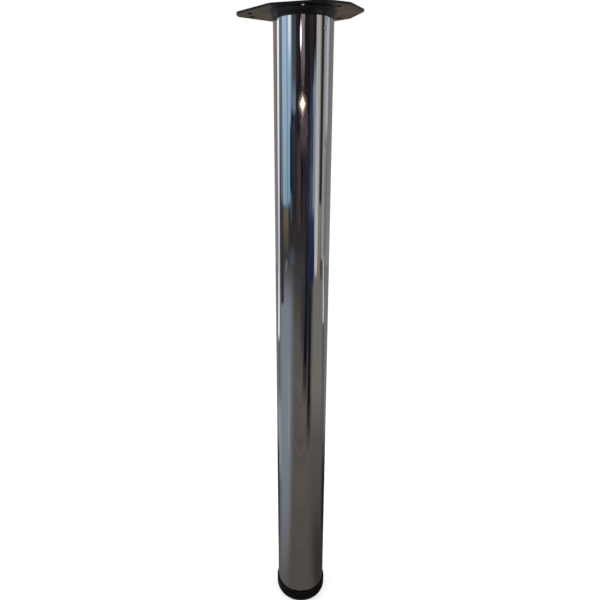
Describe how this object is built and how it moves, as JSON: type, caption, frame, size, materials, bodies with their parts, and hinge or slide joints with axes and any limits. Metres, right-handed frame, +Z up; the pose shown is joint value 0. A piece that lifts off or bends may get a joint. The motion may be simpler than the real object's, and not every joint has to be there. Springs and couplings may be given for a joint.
{
  "type": "table leg",
  "caption": "Round chromed steel table leg with a dished black fixing plate at its top and a black screw-adjusted levelling foot.",
  "frame": {"origin": "middle of the foot's base, where it stands on the floor", "axes": "+Z up along the tube to the fixing plate; the plate's long tail points along -X and the plate is alike on both sides of the X axis"},
  "size_m": [0.1243, 0.0854, 0.71],
  "materials": {
    "chrome_tube": "polished chrome plate",
    "black_steel": "satin-gloss black paint",
    "zinc_steel": "bright zinc plate",
    "insert_plastic": "moulded black plastic",
    "foot_plastic": "satin moulded black plastic",
    "pad_rubber": "soft grey rubber"
  },
  "bodies": {
    "leg": {"mounting_plate": "black_steel", "plate_stud": "zinc_steel", "leg_tube": "chrome_tube", "top_insert": "insert_plastic", "top_nut": "zinc_steel", "bottom_insert": "insert_plastic", "bottom_nut": "zinc_steel"},
    "glide": {"floor_pad": "pad_rubber"},
    "foot": {"foot_cup": "foot_plastic", "foot_bolt": "zinc_steel"}
  },
  "joints": [
    {"name": "foot_height", "type": "slide", "parent": "leg", "child": "glide", "axis": [0, 0, -1], "range_m": [0, 0.02]},
    {"name": "foot_turn", "type": "hinge", "parent": "glide", "child": "foot", "pos_m": [0, 0, 0], "axis": [0, 0, -1], "range_deg": [0, 4800]}
  ],
  "couplings": [
    {"joint": "foot_height", "follows": "foot_turn", "m_per_rad": 0.00023873}
  ]
}
